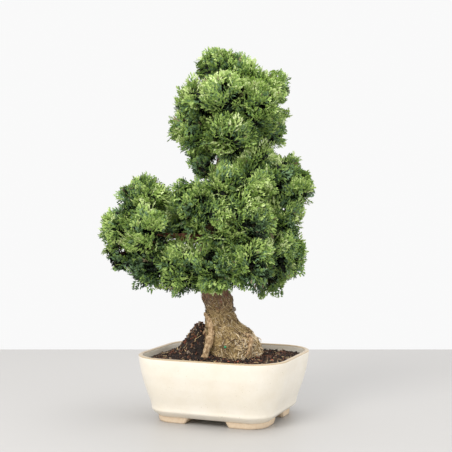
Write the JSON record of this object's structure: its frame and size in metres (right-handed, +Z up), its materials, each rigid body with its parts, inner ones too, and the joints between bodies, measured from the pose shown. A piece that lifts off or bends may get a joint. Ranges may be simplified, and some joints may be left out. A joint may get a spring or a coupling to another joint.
{
  "type": "potted conifer bonsai",
  "caption": "Conifer bonsai with a flaring, leaning trunk, bare roots and dense masses of scaly sprays, standing in a glazed tapering pot on low corner feet.",
  "frame": {"origin": "bottom centre of the whole plant's bounding box, pot and crown, on the surface that the pot's feet stand on", "axes": "+Z up along the tree, X along the pot's long side, -Y the pot's front; the tree is planted turned 21.6 degrees anticlockwise in it"},
  "size_m": [0.2596, 0.1866, 0.4767],
  "materials": {
    "glaze": "smooth cream glaze, thinner and browner along the rim, with bare clay on the feet",
    "soil": "dark, damp, grainy soil",
    "bark": "rough fibrous bark, mossy ochre at the foot and reddish and flaking above",
    "young_bark": "thin reddish bark",
    "foliage": "matt green scale leaves in flat sprays"
  },
  "bodies": {
    "root": {"bough_left": "young_bark", "bough_left_back": "young_bark", "bough_left_front": "young_bark", "bough_left_low": "young_bark", "bough_left_tip_low": "young_bark", "bough_left_top": "young_bark", "bough_lower_back_right": "young_bark", "bough_lower_front_right": "young_bark", "bough_lower_front_under": "young_bark", "bough_lower_right": "young_bark", "bough_lower_right_drop": "young_bark", "bough_middle_front": "young_bark", "bough_middle_right": "young_bark", "bough_right": "young_bark", "bough_right_tip": "young_bark", "bough_top_left": "young_bark", "bough_top_right": "young_bark", "bough_upper_front_right": "young_bark", "bough_upper_left": "young_bark", "bough_upper_left_low": "young_bark", "bough_upper_right_low": "young_bark", "foliage_centre_front": "foliage", "foliage_centre_low": "foliage", "foliage_left_back": "foliage", "foliage_left_back_inner": "foliage", "foliage_left_front": "foliage", "foliage_left_inner": "foliage", "foliage_left_low": "foliage", "foliage_left_tip": "foliage", "foliage_left_tip_low": "foliage", "foliage_left_top": "foliage", "foliage_left_under": "foliage", "foliage_lower_back_right": "foliage", "foliage_lower_front_right": "foliage", "foliage_lower_front_under": "foliage", "foliage_lower_right": "foliage", "foliage_lower_right_drop": "foliage", "foliage_middle_back": "foliage", "foliage_middle_front": "foliage", "foliage_middle_front_left": "foliage", "foliage_middle_right": "foliage", "foliage_middle_right_low": "foliage", "foliage_middle_right_tip": "foliage", "foliage_neck_back": "foliage", "foliage_neck_left": "foliage", "foliage_neck_right": "foliage", "foliage_top": "foliage", "foliage_top_left": "foliage", "foliage_top_right": "foliage", "foliage_upper_back_left": "foliage", "foliage_upper_back_right": "foliage", "foliage_upper_front": "foliage", "foliage_upper_front_low": "foliage", "foliage_upper_front_right": "foliage", "foliage_upper_left": "foliage", "foliage_upper_left_low": "foliage", "foliage_upper_right_low": "foliage", "pot": "glaze", "soil": "soil", "trunk": "bark"}
  },
  "joints": []
}
